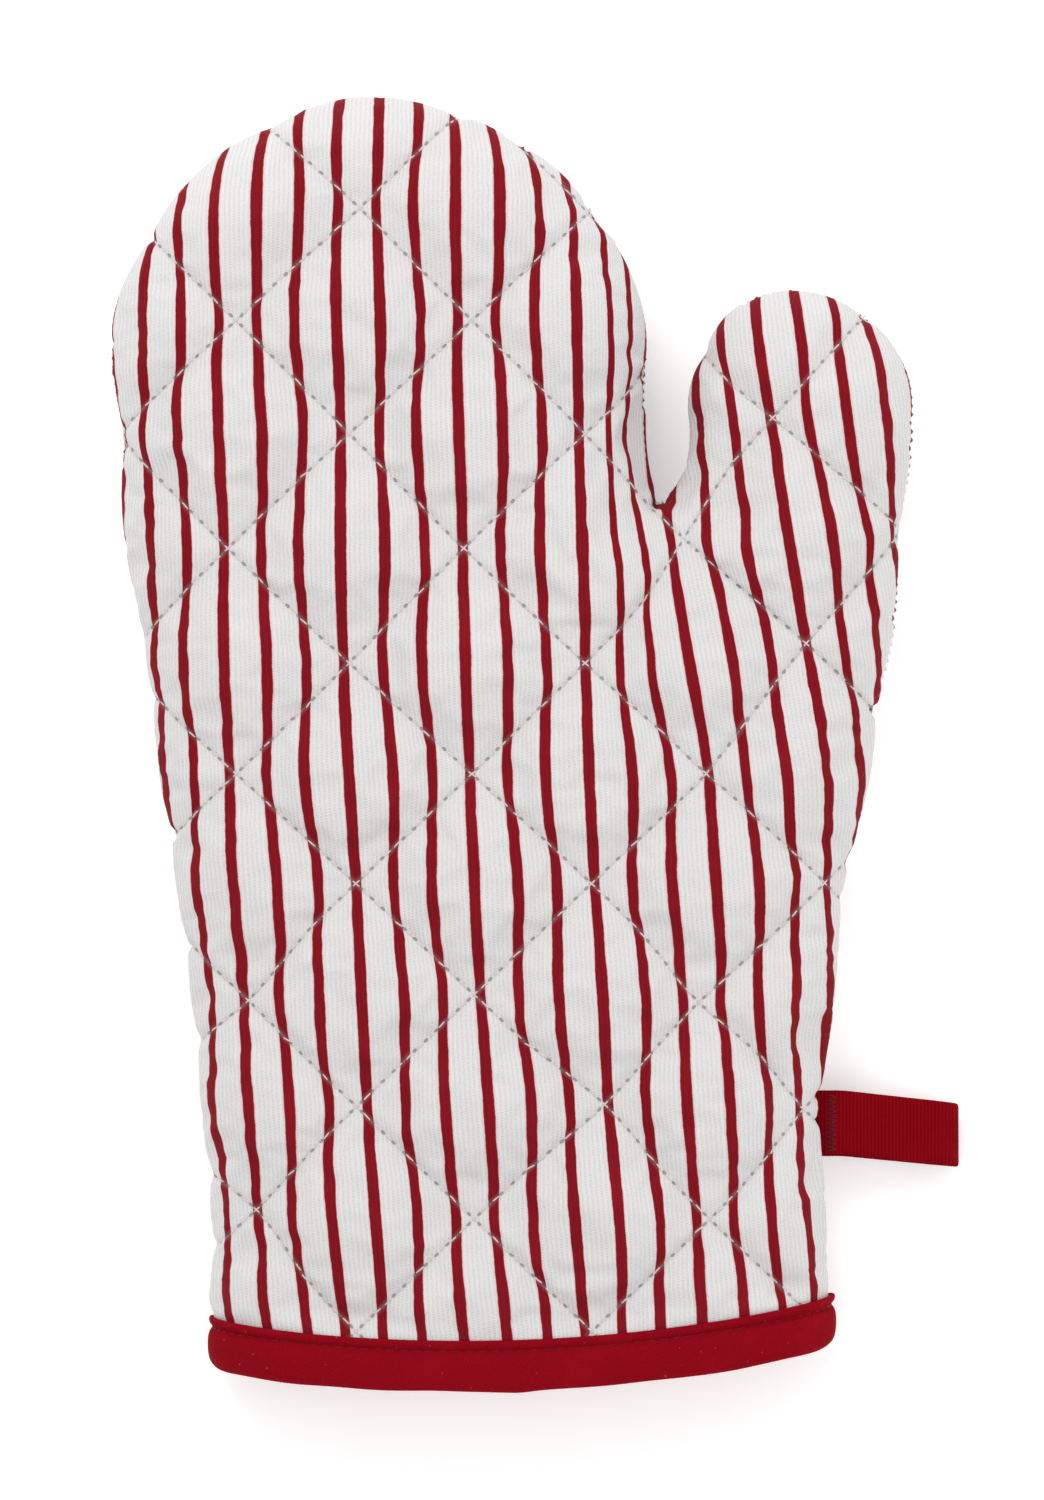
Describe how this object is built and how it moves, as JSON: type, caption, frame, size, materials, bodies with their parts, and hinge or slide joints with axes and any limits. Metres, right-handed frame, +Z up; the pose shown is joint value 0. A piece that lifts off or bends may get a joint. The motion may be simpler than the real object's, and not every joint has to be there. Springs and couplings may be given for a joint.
{
  "type": "oven mitt",
  "caption": "Quilted oven mitt with a rounded hand and thumb, striped red and white cotton shell, bound cuff and side hanging loop, lying flat.",
  "frame": {"origin": "middle of the whole mitt, loop included, on the surface it lies on", "axes": "+Y towards the fingertips, +X towards the thumb and hanging loop, +Z up out of the front panel"},
  "size_m": [0.1978, 0.3, 0.0402],
  "materials": {
    "striped_cotton": "ribbed cotton canvas in off-white with narrow crimson stripes along the mitt, quilted in diamonds",
    "wadding": "soft cotton wadding",
    "lining": "plain undyed cotton lining",
    "quilting_thread": "pale grey-white cotton sewing thread",
    "seam_thread": "off-white sewing thread",
    "binding_twill": "crimson bias-cut twill tape",
    "binding_thread": "dark crimson sewing thread",
    "loop_tape": "crimson ribbed cotton tape"
  },
  "bodies": {
    "palm": {"front_shell_palm": "striped_cotton", "front_wadding_palm": "wadding", "front_lining_palm": "lining", "back_shell_palm": "striped_cotton", "back_wadding_palm": "wadding", "back_lining_palm": "lining", "front_quilting_thread_palm": "quilting_thread", "back_quilting_thread_palm": "quilting_thread", "side_seam_thread_palm": "seam_thread", "cuff_binding": "binding_twill", "binding_thread": "binding_thread", "hang_loop_tails": "loop_tape", "loop_bartack": "binding_thread"},
    "fingers": {"front_shell_fingers": "striped_cotton", "front_wadding_fingers": "wadding", "front_lining_fingers": "lining", "back_shell_fingers": "striped_cotton", "back_wadding_fingers": "wadding", "back_lining_fingers": "lining", "front_quilting_thread_fingers": "quilting_thread", "back_quilting_thread_fingers": "quilting_thread", "side_seam_thread_fingers": "seam_thread"},
    "thumb": {"front_shell_thumb": "striped_cotton", "front_wadding_thumb": "wadding", "front_lining_thumb": "lining", "back_shell_thumb": "striped_cotton", "back_wadding_thumb": "wadding", "back_lining_thumb": "lining", "front_quilting_thread_thumb": "quilting_thread", "back_quilting_thread_thumb": "quilting_thread", "side_seam_thread_thumb": "seam_thread"},
    "hang_loop": {"hang_loop": "loop_tape"}
  },
  "joints": [
    {"name": "finger_fold", "type": "hinge", "parent": "palm", "child": "fingers", "pos_m": [-0.03629, 0.07, 0.0243], "axis": [1, 0, 0], "range_deg": [0, 50]},
    {"name": "thumb_fold", "type": "hinge", "parent": "palm", "child": "thumb", "pos_m": [0.02961, 0.0575, 0.0243], "axis": [0.7627, -0.6468, 0], "range_deg": [0, 45]},
    {"name": "loop_swing", "type": "hinge", "parent": "palm", "child": "hang_loop", "pos_m": [0.07144, -0.0883, 0.0123], "axis": [0, -1, 0], "range_deg": [-60, 90]}
  ]
}
